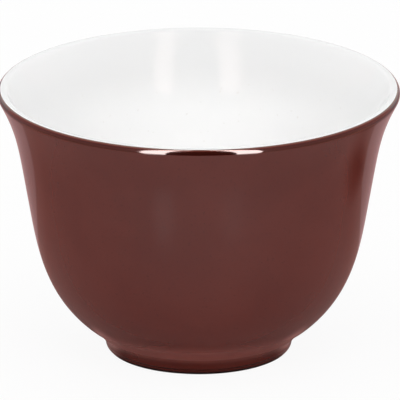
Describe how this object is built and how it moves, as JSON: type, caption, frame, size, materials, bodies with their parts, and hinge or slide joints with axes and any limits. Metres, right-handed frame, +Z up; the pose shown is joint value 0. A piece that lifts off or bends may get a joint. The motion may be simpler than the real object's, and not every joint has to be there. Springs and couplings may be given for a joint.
{
  "type": "arabic coffee cup",
  "caption": "Small handleless coffee cup with a flared lip and a low foot ring, brown glaze outside and white glaze inside.",
  "frame": {"origin": "on the table, on the cup's axis", "axes": "+Z up along the cup's axis, through the open mouth; X and Y are free, because every piece is a solid of revolution"},
  "size_m": [0.076, 0.076, 0.0515],
  "materials": {
    "bisque": "matt fired porcelain, ground smooth on the standing face",
    "white_glaze": "glossy white glaze",
    "brown_glaze": "glossy dark reddish brown glaze",
    "clear_glaze": "glossy clear glaze over white porcelain"
  },
  "bodies": {
    "root": {"porcelain_bowl": "bisque", "foot_ring": "bisque", "inner_glaze": "white_glaze", "outer_glaze": "brown_glaze", "base_glaze": "clear_glaze"}
  },
  "joints": []
}
